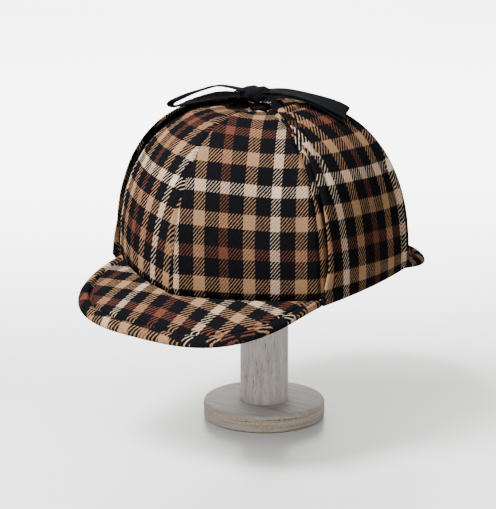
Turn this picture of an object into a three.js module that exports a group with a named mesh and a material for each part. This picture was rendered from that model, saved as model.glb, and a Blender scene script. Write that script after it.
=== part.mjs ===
import * as THREE from 'three';

// Deerstalker hat with its ear flaps tied up, on a plain wooden stand.
// Millimetres, +Z up, -Y is the wearer's front, +X the wearer's left.
// The origin is the middle of the stand's underside.

// Stand
const BASE_DIAMETER = 80.4;
const BASE_THICKNESS = 11.8;
const BASE_EDGE_ROUND = 1.6;
const POST_DIAMETER = 31.8;
const POST_HEAD_ROUND = 4;
const POST_FOOT_GAP = 0.3;

// Place and lean of the hat on the post
const RIM_HEIGHT = 107.3;
const HAT_SIDE_SHIFT = -0.9;
const HAT_FORE_SHIFT = -2;
const PITCH_DEGREES = 2.3;
const ROLL_DEGREES = 1.2;
const HEAD_GAP = 0.35;

// Crown, measured from the axis of its button
const CROWN_FRONT = 92.4;
const CROWN_BACK = 102;
const CROWN_HALF_WIDTH = 82.2;
const CROWN_HEIGHT = 108.7;
const CROWN_SQUARENESS = 2.36;
const CROWN_BELLY = 0.011;
const CROWN_WALL = 2.5;
const TOP_DENT = 7;
const TOP_DENT_RADIUS = 29;
const FRONT_SHOULDER_RISE = 3.6;
const PANEL_GAP = 0.35;
const CROWN_HOLE_RADIUS = 3;

// Covered button
const BUTTON_DIAMETER = 14;
const BUTTON_RISE = 3.2;
const SEAT_GAP = 0.3;

// Ear flaps
const FLAP_THICKNESS = 4.5;
const FLAP_GAP = 0.4;
const FLAP_EDGE_STANDOFF = 1;
const FLAP_EDGE_SHARE = 0.9;
const FLAP_EDGE_UNDERCUT = 0.35;
const FLAP_HEM_DROP = 3.8;

// Peaks, measured outwards from the crown's seams at the rim
const FRONT_PEAK_REACH = 81;
const FRONT_PEAK_DROOP = 15.9;
const FRONT_PEAK_SQUARENESS = 2.85;
const BACK_PEAK_REACH = 82;
const BACK_PEAK_DROOP = 17.5;
const BACK_PEAK_SQUARENESS = 2;
const PEAK_THICKNESS = 4.2;
const PEAK_GAP = 0.35;
const PEAK_EDGE_SHARE = 0.45;

// Ribbon and bow
const RIBBON_WIDTH = 16;
const RIBBON_THICKNESS = 1.2;
const RIBBON_GAP = 0.35;
const LOOP_REACH = 61;
const LOOP_RISE = 10;
const LOOP_TOUCH_SHARE = 0.76;
const BOW_OVER_TOUCH = 2.87;
const TIE_RISE = 0.72;
const BOW_TURN_DEGREES = 24;
const BOW_SHIFT = 3.4;
const KNOT_LENGTH = 18;
const KNOT_DEPTH = 13;
const KNOT_HEIGHT = 10.6;

// Seams at the rim, one row each, round from the front towards the wearer's left.
// across: share of the crown's half width; along: share of its front or back reach;
// bulge: how far the panel after the seam bows out, as a share of its width at the rim.
const SEAMS = [
  { across: 0, along: -1, bulge: 0.06 },
  { across: 1, along: -0.496, bulge: 0.03 },
  { across: 0.944, along: 0.496, bulge: 0.064 },
  { across: 0, along: 1, bulge: 0.064 },
  { across: -0.944, along: 0.496, bulge: 0.03 },
  { across: -1, along: -0.496, bulge: 0.06 },
];
const SEAM_COUNT = SEAMS.length;
const PANELS = [
  'crown_front_left',
  'crown_side_left',
  'crown_back_left',
  'crown_back_right',
  'crown_side_right',
  'crown_front_right',
];
// Turn of the left side panel's middle
const SIDE_MIDDLE = 1.5;
// Bow of a panel high on the crown, where its rings turn round
const ROUND_BULGE = 0.134;

// Ear flap, one row for each height up the crown.
// level: share of the way from the rim to the button; front, back: its edges as shares of the
// side panel's width; thick: share of the flap's thickness; lift: share of it that the tip stands off.
const FLAP_ROWS = [
  { level: 0, front: 0.05, back: 0.965, thick: 1, lift: 0 },
  { level: 0.3, front: 0.05, back: 0.975, thick: 1, lift: 0 },
  { level: 0.55, front: 0.02, back: 1, thick: 0.95, lift: 0 },
  { level: 0.7, front: -0.01, back: 1.03, thick: 0.7, lift: 0 },
  { level: 0.84, front: -0.02, back: 1.02, thick: 0.5, lift: 0 },
  { level: 0.875, front: 0.06, back: 0.94, thick: 0.45, lift: 0.08 },
  { level: 0.895, front: 0.2, back: 0.8, thick: 0.4, lift: 0.15 },
];

// Hem of an ear flap, turned in under the rim, from its outer corner to its inner edge.
// out: outside face, into: inside face, as shares of the way out from the wall's inside;
// drop: share of the hem's drop.
const HEM_ROWS = [
  { out: 0.84, into: 1, drop: 0.8 },
  { out: 0.55, into: 0.86, drop: 1 },
  { out: 0, into: 0, drop: 1 },
];

// Bow loops, one row for each station along the ribbon, out from the knot and back under.
// along: share of the loop's reach; rise: share of the loops' rise over the bow's base line;
// tilt: degrees by which the ribbon's rear edge stands above its front edge.
const RIGHT_LOOP = [
  { along: 0.155, rise: 1.3, tilt: -4 },
  { along: 0.33, rise: 1.46, tilt: -10 },
  { along: 0.46, rise: 1.38, tilt: -13 },
  { along: 0.58, rise: 1.14, tilt: -14 },
  { along: 0.72, rise: 0.82, tilt: -14 },
  { along: 0.83, rise: 0.5, tilt: -14 },
  { along: 0.91, rise: 0.24, tilt: -14 },
  { along: 0.94, rise: 0.03, tilt: -14 },
  { along: 0.915, rise: -0.1, tilt: -14 },
  { along: 0.85, rise: -0.06, tilt: -12 },
  { along: 0.78, rise: 0.12, tilt: -10 },
  { along: 0.67, rise: 0.42, tilt: -6 },
  { along: 0.55, rise: 0.74, tilt: 0 },
  { along: 0.45, rise: 0.92, tilt: 4 },
  { along: 0.32, rise: 0.98, tilt: 6 },
  { along: 0.155, rise: 1, tilt: 4 },
];
const LEFT_LOOP = [
  { along: 0.155, rise: 1.2, tilt: 2 },
  { along: 0.25, rise: 1.2, tilt: 3 },
  { along: 0.405, rise: 1.1, tilt: 5 },
  { along: 0.58, rise: 0.9, tilt: 8 },
  { along: 0.76, rise: 0.6, tilt: 11 },
  { along: 0.88, rise: 0.35, tilt: 13 },
  { along: 0.96, rise: 0.14, tilt: 14 },
  { along: 0.985, rise: 0, tilt: 14 },
  { along: 0.955, rise: -0.1, tilt: 14 },
  { along: 0.87, rise: 0.1, tilt: 13 },
  { along: 0.76, rise: 0.4, tilt: 11 },
  { along: 0.577, rise: 0.73, tilt: 8 },
  { along: 0.4, rise: 0.9, tilt: 5 },
  { along: 0.25, rise: 0.99, tilt: 3 },
  { along: 0.155, rise: 1, tilt: 2 },
];

// Knot, one row for each ring along the bow. along: share of half its length;
// low, high: its underside and top as shares of its height; depth: share of its depth.
const KNOT_ROWS = [
  { along: -1, low: 0.42, high: 0.84, depth: 0.72 },
  { along: -0.6, low: 0.2, high: 0.97, depth: 0.92 },
  { along: -0.2, low: 0.02, high: 1, depth: 1 },
  { along: 0.25, low: 0, high: 1, depth: 1 },
  { along: 0.65, low: 0.16, high: 0.98, depth: 0.92 },
  { along: 1, low: 0.42, high: 0.86, depth: 0.7 },
];

// Ribbon tie from a flap's tip in to the knot. along: share of the tip's distance from the button;
// rise: share of the way up to the knot; width: share of the ribbon's width.
const TIE_ROWS = [
  { along: 0.9, rise: 0.06, width: 0.94 },
  { along: 0.8, rise: 0.26, width: 0.9 },
  { along: 0.7, rise: 0.6, width: 0.8 },
  { along: 0.6, rise: 0.95, width: 0.7 },
];

// How finely the cloth is drawn
const CROWN_LEVELS = 14;
const PANEL_COLUMNS = 8;
const FLAP_COLUMNS = 10;
const PEAK_COLUMNS = 26;
const LOOP_STATIONS = 26;
const TURNED_SIDES = 48;
const BUTTON_SIDES = 24;
const KNOT_SIDES = 16;
const ROUND_STEPS = 4;
// Stations of a peak, as shares of the way out from its tucked margin
const PEAK_STATIONS = [0, 0.06, 0.3, 0.55, 0.8, 0.95, 1];

const plaid = new THREE.MeshStandardMaterial({ color: 0x4a3a2e, roughness: 0.95 });
const ribbonCloth = new THREE.MeshStandardMaterial({ color: 0x15171b, roughness: 0.8 });
const paleWood = new THREE.MeshStandardMaterial({ color: 0xd2cdc6, roughness: 0.75 });

const mix = (a, b, share) => a + (b - a) * share;
const spread = (count, make) => Array.from({ length: count + 1 }, (_, i) => make(i / count));

// Value of one column of a table at a share between its first and last row
function tableAt(rows, key, column, at) {
  const next = rows.findIndex((row) => row[key] >= at);
  if (next <= 0) return rows[next === 0 ? 0 : rows.length - 1][column];
  const [low, high] = [rows[next - 1], rows[next]];
  return mix(low[column], high[column], (at - low[key]) / (high[key] - low[key]));
}

// Plan of a seam at the rim
function seamPlan(seam) {
  const { across, along } = SEAMS[((seam % SEAM_COUNT) + SEAM_COUNT) % SEAM_COUNT];
  const reach = along < 0 ? CROWN_FRONT : CROWN_BACK;
  return new THREE.Vector2(across * CROWN_HALF_WIDTH, along * reach);
}

// Plan of the rim at a turn round the crown: 0 is the front seam, and each panel adds 1.
// Higher levels are rounder.
function ringPlan(turn, level) {
  const panel = Math.floor(turn);
  const start = seamPlan(panel);
  const chord = seamPlan(panel + 1).sub(start);
  const share = turn - panel;
  const rimBulge = SEAMS[((panel % SEAM_COUNT) + SEAM_COUNT) % SEAM_COUNT].bulge;
  const bulge = 4 * share * (1 - share) * mix(rimBulge, ROUND_BULGE, level ** 2);
  const outwards = new THREE.Vector2(chord.y, -chord.x).multiplyScalar(bulge);
  return start.addScaledVector(chord, share).add(outwards);
}

// How far in a level's ring is, as a share of the rim
function ringShare(level) {
  return Math.cos((level * Math.PI) / 2) ** (2 / CROWN_SQUARENESS);
}

function levelOfShare(share) {
  return (Math.acos(share ** (CROWN_SQUARENESS / 2)) * 2) / Math.PI;
}

// Point of the crown's cloth, lifted off its outside face by lift
function clothPoint(turn, level, lift) {
  const plan = ringPlan(turn, level);
  plan.multiplyScalar(1 + lift / plan.length());
  const belly = 1 + CROWN_BELLY * Math.sin(Math.PI * Math.min(1.6 * level, 1));
  plan.multiplyScalar(ringShare(level) * belly);
  const rise = Math.sin((level * Math.PI) / 2) ** (2 / CROWN_SQUARENESS);
  const dent = TOP_DENT * Math.exp(-plan.lengthSq() / TOP_DENT_RADIUS ** 2);
  const facingFront = Math.max(-plan.y / plan.length(), 0) ** 4;
  const shoulder = FRONT_SHOULDER_RISE * Math.sin(Math.PI * level) * facingFront;
  return new THREE.Vector3(plan.x, plan.y, rise * (CROWN_HEIGHT + lift) + shoulder - dent);
}

// Closed body between two grids of points, with walls along the four edges
function sheetBody(outer, inner) {
  const rows = outer.length;
  const columns = outer[0].length;
  const points = [...outer.flat(), ...inner.flat()];
  const at = (face, row, column) => (face * rows + row) * columns + column;
  const faces = [];
  const quad = (a, b, c, d) => faces.push(a, b, c, a, c, d);
  for (let row = 0; row + 1 < rows; row += 1) {
    for (let column = 0; column + 1 < columns; column += 1) {
      quad(at(0, row, column), at(0, row, column + 1), at(0, row + 1, column + 1), at(0, row + 1, column));
      quad(at(1, row, column), at(1, row + 1, column), at(1, row + 1, column + 1), at(1, row, column + 1));
    }
    quad(at(0, row, 0), at(0, row + 1, 0), at(1, row + 1, 0), at(1, row, 0));
    quad(at(0, row, columns - 1), at(1, row, columns - 1), at(1, row + 1, columns - 1), at(0, row + 1, columns - 1));
  }
  for (let column = 0; column + 1 < columns; column += 1) {
    quad(at(0, 0, column), at(1, 0, column), at(1, 0, column + 1), at(0, 0, column + 1));
    quad(at(0, rows - 1, column), at(0, rows - 1, column + 1), at(1, rows - 1, column + 1), at(1, rows - 1, column));
  }
  return closedGeometry(points, faces);
}

// Geometry of a closed body, turned right side out
function closedGeometry(points, faces) {
  let volume = 0;
  for (let i = 0; i < faces.length; i += 3) {
    const [a, b, c] = [points[faces[i]], points[faces[i + 1]], points[faces[i + 2]]];
    volume += a.dot(b.clone().cross(c));
  }
  const geometry = new THREE.BufferGeometry().setFromPoints(points);
  geometry.setIndex(volume < 0 ? faces.slice().reverse() : faces);
  geometry.computeVertexNormals();
  return geometry;
}

function namedMesh(name, geometry, material) {
  const mesh = new THREE.Mesh(geometry, material);
  mesh.name = name;
  return mesh;
}

// One of the crown's six panels, from the rim to the hole under the button
function crownPanel(panel) {
  const width = seamPlan(panel + 1).distanceTo(seamPlan(panel));
  const face = (lift) =>
    crownLevels().map((level) => {
      const margin = PANEL_GAP / 2 / (width * ringShare(level));
      return spread(PANEL_COLUMNS, (across) => clothPoint(panel + mix(margin, 1 - margin, across), level, lift));
    });
  return sheetBody(face(0), face(-CROWN_WALL));
}

// Highest point of the crown's outside face within a distance of the button's axis
function crownTopWithin(radius) {
  const level = levelOfShare(radius / CROWN_HALF_WIDTH);
  const heights = spread(12, (share) => clothPoint(SEAM_COUNT * share, level, 0).z);
  return Math.max(...heights, CROWN_HEIGHT - TOP_DENT);
}

function buttonGeometry() {
  const radius = BUTTON_DIAMETER / 2;
  const seat = crownTopWithin(radius) + SEAT_GAP;
  const rim = BUTTON_RISE / 3;
  const dome = spread(5, (share) => {
    const angle = (share * Math.PI) / 2;
    return new THREE.Vector2(radius * Math.cos(angle), seat + rim + (BUTTON_RISE - rim) * Math.sin(angle));
  });
  dome[dome.length - 1].x = 0;
  const profile = [new THREE.Vector2(0, seat), new THREE.Vector2(radius * 0.86, seat), ...dome];
  return new THREE.LatheGeometry(profile, BUTTON_SIDES).rotateX(Math.PI / 2);
}

// Levels of the rows that the crown's panels are drawn with
function crownLevels() {
  const top = levelOfShare(CROWN_HOLE_RADIUS / CROWN_HALF_WIDTH);
  return spread(CROWN_LEVELS, (share) => share * top);
}

// Ear flap folded up over a side panel, with its hem turned in under the rim
function flapGeometry() {
  const tipLevels = FLAP_ROWS.slice(-3).map(({ level }) => level);
  const bodyLevels = crownLevels().filter((level) => level < tipLevels[0] - 0.02);
  const turnsAt = (level) => {
    const front = tableAt(FLAP_ROWS, 'level', 'front', level);
    const back = tableAt(FLAP_ROWS, 'level', 'back', level);
    return spread(FLAP_COLUMNS, (across) => 1 + mix(front, back, across));
  };
  const atEdge = (column) => column === 0 || column === FLAP_COLUMNS;
  const outer = [];
  const inner = [];
  for (const level of [...bodyLevels, ...tipLevels]) {
    const thickness = tableAt(FLAP_ROWS, 'level', 'thick', level) * FLAP_THICKNESS;
    const lift = FLAP_GAP + tableAt(FLAP_ROWS, 'level', 'lift', level) * FLAP_THICKNESS;
    const standoff = (column) => lift + (atEdge(column) && level > 0 ? FLAP_EDGE_STANDOFF : 0);
    const pressed = (column) => (atEdge(column) ? FLAP_EDGE_SHARE : 1) * thickness;
    const face = (offset) => turnsAt(level).map((turn, column) => clothPoint(turn, level, offset(column)));
    outer.push(face((column) => standoff(column) + pressed(column)));
    inner.push(face((column) => standoff(column) + (atEdge(column) ? FLAP_EDGE_UNDERCUT * thickness : 0)));
  }
  const hemRow = (lift, height) => turnsAt(0).map((turn) => clothPoint(turn, 0, lift).setZ(height));
  for (const { out, into, drop } of HEM_ROWS) {
    outer.unshift(hemRow(mix(-CROWN_WALL, FLAP_GAP + FLAP_THICKNESS, out), -drop * FLAP_HEM_DROP));
    inner.unshift(hemRow(mix(-CROWN_WALL, FLAP_GAP, into), -FLAP_GAP));
  }
  return sheetBody(outer, inner);
}

// Mirror image across the hat's middle plane
function mirrored(geometry) {
  const points = [];
  const position = geometry.getAttribute('position');
  for (let i = 0; i < position.count; i += 1) {
    points.push(new THREE.Vector3().fromBufferAttribute(position, i).multiply(new THREE.Vector3(-1, 1, 1)));
  }
  return closedGeometry(points, Array.from(geometry.getIndex().array));
}

// Front peak from the right side seam to the left one, and back peak from left to right
const FRONT_PEAK = {
  fromTurn: -1,
  toTurn: 1,
  reach: FRONT_PEAK_REACH,
  droop: FRONT_PEAK_DROOP,
  squareness: FRONT_PEAK_SQUARENESS,
};
const BACK_PEAK = {
  fromTurn: 2,
  toTurn: 4,
  reach: BACK_PEAK_REACH,
  droop: BACK_PEAK_DROOP,
  squareness: BACK_PEAK_SQUARENESS,
};

// Point of a peak: across runs from one end to the other, out from the margin that is tucked
// under the crown's wall to the rounded outer edge
function peakPoint(peak, across, out, under) {
  const corner = seamPlan(peak.toTurn);
  const margin = clothPoint(mix(peak.fromTurn, peak.toTurn, across), 0, -CROWN_WALL);
  const sweep = 2 * across - 1;
  const angle = (Math.sign(sweep) * (1 - (1 - Math.abs(sweep)) ** 1.35) * Math.PI) / 2;
  const power = 2 / peak.squareness;
  const side = Math.sign(angle) * Math.abs(Math.sin(angle)) ** power;
  const fore = Math.max(Math.cos(angle), 0) ** power;
  const x = mix(margin.x, corner.x * side, out);
  const y = mix(margin.y, corner.y + Math.sign(corner.y) * peak.reach * fore, out);
  const slope = peak.droop * Math.max(Math.cos(angle), 0) ** 0.9 * out ** 1.2;
  const atEdge = out === 1;
  const thickness = PEAK_THICKNESS * (atEdge ? PEAK_EDGE_SHARE : 1);
  const top = -PEAK_GAP - slope - (atEdge ? (PEAK_THICKNESS - thickness) / 2 : 0);
  return new THREE.Vector3(x, y, under ? top - thickness : top);
}

function peakGeometry(peak) {
  const face = (under) =>
    PEAK_STATIONS.map((out) => spread(PEAK_COLUMNS, (across) => peakPoint(peak, across, out, under)));
  return sheetBody(face(false), face(true));
}

// Flat ribbon along a centre line: each station has a point, a direction across and a width
function ribbonBody(stations) {
  const curve = new THREE.CatmullRomCurve3(stations.map(({ point }) => point));
  const last = stations.length - 1;
  const face = (side) =>
    spread(LOOP_STATIONS, (share) => {
      const at = share * last;
      const row = Math.min(Math.floor(at), last - 1);
      const [low, high] = [stations[row], stations[row + 1]];
      const across = low.across.clone().lerp(high.across, at - row).normalize();
      const normal = curve.getTangent(share).cross(across).normalize();
      const middle = curve.getPoint(share).addScaledVector(normal, (side * RIBBON_THICKNESS) / 2);
      const half = mix(low.width, high.width, at - row) / 2;
      return [-1, 0, 1].map((edge) => middle.clone().addScaledVector(across, edge * half));
    });
  return sheetBody(face(1), face(-1));
}

// Loop of the bow, lying along its own X axis towards side
function loopGeometry(rows, side) {
  const stations = rows.map(({ along, rise, tilt }) => {
    const angle = THREE.MathUtils.degToRad(tilt);
    return {
      point: new THREE.Vector3(side * along * LOOP_REACH, 0, rise * LOOP_RISE),
      across: new THREE.Vector3(0, Math.cos(angle), Math.sin(angle)),
      width: RIBBON_WIDTH,
    };
  });
  return ribbonBody(stations);
}

// Knot wrapped round the middle of the bow, standing over the button
function knotGeometry(underside) {
  const points = [];
  const ends = [];
  for (const { along, low, high, depth } of KNOT_ROWS) {
    const x = (along * KNOT_LENGTH) / 2;
    const middle = underside + ((low + high) / 2) * KNOT_HEIGHT;
    const halfHeight = ((high - low) / 2) * KNOT_HEIGHT;
    for (let i = 0; i < KNOT_SIDES; i += 1) {
      const angle = (i / KNOT_SIDES) * 2 * Math.PI;
      const round = (value) => Math.sign(value) * Math.abs(value) ** 0.7;
      const y = (round(Math.cos(angle)) * depth * KNOT_DEPTH) / 2;
      points.push(new THREE.Vector3(x, y, middle + round(Math.sin(angle)) * halfHeight));
    }
    ends.push(new THREE.Vector3(x, 0, middle));
  }
  const faces = [];
  const at = (row, side) => row * KNOT_SIDES + (side % KNOT_SIDES);
  const [first, last] = [points.length, points.length + 1];
  points.push(ends[0], ends[ends.length - 1]);
  for (let side = 0; side < KNOT_SIDES; side += 1) {
    for (let row = 0; row + 1 < KNOT_ROWS.length; row += 1) {
      faces.push(at(row, side), at(row, side + 1), at(row + 1, side + 1));
      faces.push(at(row, side), at(row + 1, side + 1), at(row + 1, side));
    }
    faces.push(first, at(0, side + 1), at(0, side));
    faces.push(last, at(KNOT_ROWS.length - 1, side), at(KNOT_ROWS.length - 1, side + 1));
  }
  return closedGeometry(points, faces);
}

// Tie from the left flap's tip in to the knot
function tieGeometry(knotSide) {
  const tip = FLAP_ROWS.at(-1).level;
  const tipPoint = clothPoint(SIDE_MIDDLE, tip, RIBBON_GAP + RIBBON_THICKNESS / 2);
  const stations = TIE_ROWS.map(({ along, rise, width }) => ({
    point: new THREE.Vector3(tipPoint.x * along, tipPoint.y * along, mix(tipPoint.z, knotSide, rise)),
    across: new THREE.Vector3(0, 1, 0),
    width: width * RIBBON_WIDTH,
  }));
  return ribbonBody(stations);
}

// Turned body from half of its outline, axis upright
function turned(profile, sides) {
  return new THREE.LatheGeometry(profile, sides).rotateX(Math.PI / 2);
}

// Quarter round from one direction to another about a centre
function quarterRound(centreX, centreY, radius, fromDegrees) {
  return spread(ROUND_STEPS, (share) => {
    const angle = THREE.MathUtils.degToRad(fromDegrees + 90 * share);
    return new THREE.Vector2(centreX + radius * Math.cos(angle), centreY + radius * Math.sin(angle));
  });
}

function baseGeometry() {
  const flat = BASE_DIAMETER / 2 - BASE_EDGE_ROUND;
  const profile = [
    new THREE.Vector2(0, 0),
    ...quarterRound(flat, BASE_EDGE_ROUND, BASE_EDGE_ROUND, -90),
    ...quarterRound(flat, BASE_THICKNESS - BASE_EDGE_ROUND, BASE_EDGE_ROUND, 0),
    new THREE.Vector2(0, BASE_THICKNESS),
  ];
  return turned(profile, TURNED_SIDES);
}

function postGeometry(headHeight) {
  const radius = POST_DIAMETER / 2;
  const foot = BASE_THICKNESS + POST_FOOT_GAP;
  const profile = [
    new THREE.Vector2(0, foot),
    new THREE.Vector2(radius, foot),
    ...quarterRound(radius - POST_HEAD_ROUND, headHeight - POST_HEAD_ROUND, POST_HEAD_ROUND, 0),
    new THREE.Vector2(0, headHeight),
  ];
  return turned(profile, TURNED_SIDES);
}

// Lowest place of the crown's inside over the post's head
function insideOverPost(hat) {
  const top = levelOfShare(CROWN_HOLE_RADIUS / CROWN_HALF_WIDTH);
  const low = levelOfShare(POST_DIAMETER / CROWN_HALF_WIDTH);
  const heights = spread(24, (up) =>
    spread(48, (round) => clothPoint(SEAM_COUNT * round, mix(low, top, up), -CROWN_WALL)),
  )
    .flat()
    .map((point) => point.applyMatrix4(hat.matrix))
    .filter((point) => Math.hypot(point.x, point.y) < POST_DIAMETER / 2)
    .map((point) => point.z);
  return Math.min(...heights);
}

// Height of the bow's base line: the loops lie on the ear flaps' faces some way out from the button
function bowSeat() {
  const level = levelOfShare((LOOP_TOUCH_SHARE * LOOP_REACH) / CROWN_HALF_WIDTH);
  const thickness = tableAt(FLAP_ROWS, 'level', 'thick', level) * FLAP_THICKNESS;
  return clothPoint(SIDE_MIDDLE, level, FLAP_GAP + thickness).z + BOW_OVER_TOUCH;
}

function buildBow() {
  const bow = new THREE.Group();
  bow.rotation.z = THREE.MathUtils.degToRad(BOW_TURN_DEGREES);
  bow.position.z = bowSeat();
  const middle = new THREE.Group();
  middle.position.x = -BOW_SHIFT;
  const underside = crownTopWithin(BUTTON_DIAMETER / 2) + 2 * SEAT_GAP + BUTTON_RISE - bow.position.z;
  middle.add(namedMesh('bow_loop_left', loopGeometry(LEFT_LOOP, 1), ribbonCloth));
  middle.add(namedMesh('bow_loop_right', loopGeometry(RIGHT_LOOP, -1), ribbonCloth));
  middle.add(namedMesh('bow_knot', knotGeometry(underside), ribbonCloth));
  return bow.add(middle);
}

function buildHat() {
  const hat = new THREE.Group();
  hat.rotation.order = 'YXZ';
  hat.rotation.set(THREE.MathUtils.degToRad(PITCH_DEGREES), THREE.MathUtils.degToRad(ROLL_DEGREES), 0);
  hat.position.set(HAT_SIDE_SHIFT, HAT_FORE_SHIFT, RIM_HEIGHT);
  hat.updateMatrix();
  PANELS.forEach((name, panel) => hat.add(namedMesh(name, crownPanel(panel), plaid)));
  hat.add(namedMesh('crown_button', buttonGeometry(), plaid));
  const flap = flapGeometry();
  hat.add(namedMesh('ear_flap_left', flap, plaid));
  hat.add(namedMesh('ear_flap_right', mirrored(flap), plaid));
  hat.add(namedMesh('front_peak', peakGeometry(FRONT_PEAK), plaid));
  hat.add(namedMesh('back_peak', peakGeometry(BACK_PEAK), plaid));
  const tie = tieGeometry(bowSeat() + LOOP_RISE * TIE_RISE);
  hat.add(namedMesh('ribbon_tie_left', tie, ribbonCloth));
  hat.add(namedMesh('ribbon_tie_right', mirrored(tie), ribbonCloth));
  return hat.add(buildBow());
}

const hat = buildHat();
const hatOnStand = new THREE.Group();
hatOnStand.add(namedMesh('stand_base', baseGeometry(), paleWood));
hatOnStand.add(namedMesh('stand_post', postGeometry(insideOverPost(hat) - HEAD_GAP), paleWood));
hatOnStand.add(hat);

export default hatOnStand;
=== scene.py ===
"""Plaid deerstalker hat, its ear flaps tied up in a bow, on a whitewashed wooden stand."""

import logging
import math
from collections.abc import Sequence
from dataclasses import dataclass
from enum import Enum

import bpy
import numpy as np
from mathutils import Matrix, Vector


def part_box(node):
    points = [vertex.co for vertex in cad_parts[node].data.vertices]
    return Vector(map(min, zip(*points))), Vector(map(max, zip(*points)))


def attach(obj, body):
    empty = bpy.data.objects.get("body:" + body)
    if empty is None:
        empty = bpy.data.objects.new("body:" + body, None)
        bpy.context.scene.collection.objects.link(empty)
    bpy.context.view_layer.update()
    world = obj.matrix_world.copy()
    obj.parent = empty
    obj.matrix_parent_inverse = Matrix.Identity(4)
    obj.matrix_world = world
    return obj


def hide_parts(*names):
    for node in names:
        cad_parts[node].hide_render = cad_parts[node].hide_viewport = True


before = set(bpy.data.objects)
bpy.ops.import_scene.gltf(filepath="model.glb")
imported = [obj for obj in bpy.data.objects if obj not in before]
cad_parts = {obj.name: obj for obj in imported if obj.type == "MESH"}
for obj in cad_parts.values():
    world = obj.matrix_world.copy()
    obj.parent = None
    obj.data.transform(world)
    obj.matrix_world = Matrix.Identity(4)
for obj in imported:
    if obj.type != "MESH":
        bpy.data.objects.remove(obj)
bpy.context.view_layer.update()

log = logging.getLogger("deerstalker")

MM = 0.001
PHOTO_WIDTH = 496
SENSOR_WIDTH = 36.0
CLOTH_UNIT = 100.0
CLOTH_MAP = "cloth"

# Least distance from a sheet's edge, so that its two faces don't quite meet
OPEN_EDGE = 0.02
NUMBER = "NodeSocketFloat"
COLOUR = "NodeSocketColor"
VECTOR = "NodeSocketVector"

Colour = tuple[float, float, float]
Rows = tuple[tuple[float, ...], ...]
Node = bpy.types.Node
Socket = bpy.types.NodeSocket
Tree = bpy.types.NodeTree
Piece = bpy.types.Object
Material = bpy.types.Material
Grid = float | np.ndarray
Input = Socket | float | tuple[float, ...]


def paint(red: int, green: int, blue: int) -> Colour:
    """Turn a screen colour into the linear colour that a shader takes.

    Args:
        red: Red from 0 to 255.
        green: Green from 0 to 255.
        blue: Blue from 0 to 255.

    Returns:
        The linear red, green and blue.
    """
    return tuple(((c / 255 + 0.055) / 1.055) ** 2.4 if c > 10 else c / 3294.6 for c in (red, green, blue))


def mix(low: Grid, high: Grid, share: Grid) -> Grid:
    """Return the value a share of the way from low to high; numbers or arrays."""
    return low + (high - low) * share


def eased(count: int) -> np.ndarray:
    """Return count + 1 shares from 0 to 1 that crowd together at both ends."""
    return (1 - np.cos(np.pi * np.arange(count + 1) / count)) / 2


def crowded_end(count: int, power: float) -> np.ndarray:
    """Return count + 1 shares from 0 to 1 that crowd together at the far end."""
    return 1 - (1 - np.arange(count + 1) / count) ** power


def hill(distance: Grid, width: float) -> Grid:
    """Return a soft hill of height 1 over distance 0, with the given half width."""
    return np.exp(-((distance / width) ** 2))


def blunted(value: Grid, power: float) -> Grid:
    """Return a sine or a cosine raised to a power, with its sign kept."""
    return np.sign(value) * np.abs(value) ** power


def ripple(along: np.ndarray, across: np.ndarray, seed: float) -> np.ndarray:
    """Return an uneven wave between about -1 and 1, as slack cloth shows.

    Args:
        along: Distance one way over the cloth, in millimetres.
        across: Distance the other way.
        seed: Number that sets this piece's waves apart from the others'.

    Returns:
        The wave's height at each place.
    """
    slow = np.sin(along / 17 + across / 41 + seed) * np.cos(across / 23 - along / 57 + 2.1 * seed)
    quick = np.sin(along / 7.3 - across / 11 + 3.7 * seed) * np.sin(across / 9.1 + along / 29 + seed)
    return 0.7 * slow + 0.3 * quick


def stitched(from_edge: np.ndarray, inset: float, lip_width: float) -> tuple[np.ndarray, np.ndarray]:
    """Return how deep in a stitch line each place is, and how far up the lip beyond it.

    Args:
        from_edge: Distance from the cloth's edge, in millimetres.
        inset: Distance of the stitch line from the edge.
        lip_width: Half width of the lip.

    Returns:
        The groove and the lip, both from 0 to 1.
    """
    return hill(from_edge - inset, 1.0), hill(from_edge - inset / 2, lip_width)


def table_at(rows: Rows, column: int, at: np.ndarray) -> np.ndarray:
    """Return one column of a table at places along its first, rising column."""
    return np.interp(at, [row[0] for row in rows], [row[column] for row in rows])


class Slot(Enum):
    """Material slots of the record."""

    WOOL = "plaid_wool"
    RIBBON = "ribbon"
    WOOD = "pale_wood"


@dataclass(frozen=True)
class HatPlace:
    """Where the hat sits on its post, and how it leans, in millimetres and degrees."""

    rim_height: float = 107.3
    side_shift: float = -0.9
    fore_shift: float = -2.0
    pitch: float = 2.3
    roll: float = 1.2

    def matrix(self) -> Matrix:
        """Find the hat's place in the frame.

        Returns:
            The place, in millimetres.
        """
        roll = Matrix.Rotation(math.radians(self.roll), 4, "Y")
        pitch = Matrix.Rotation(math.radians(self.pitch), 4, "X")
        return Matrix.Translation((self.side_shift, self.fore_shift, self.rim_height)) @ roll @ pitch


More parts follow.
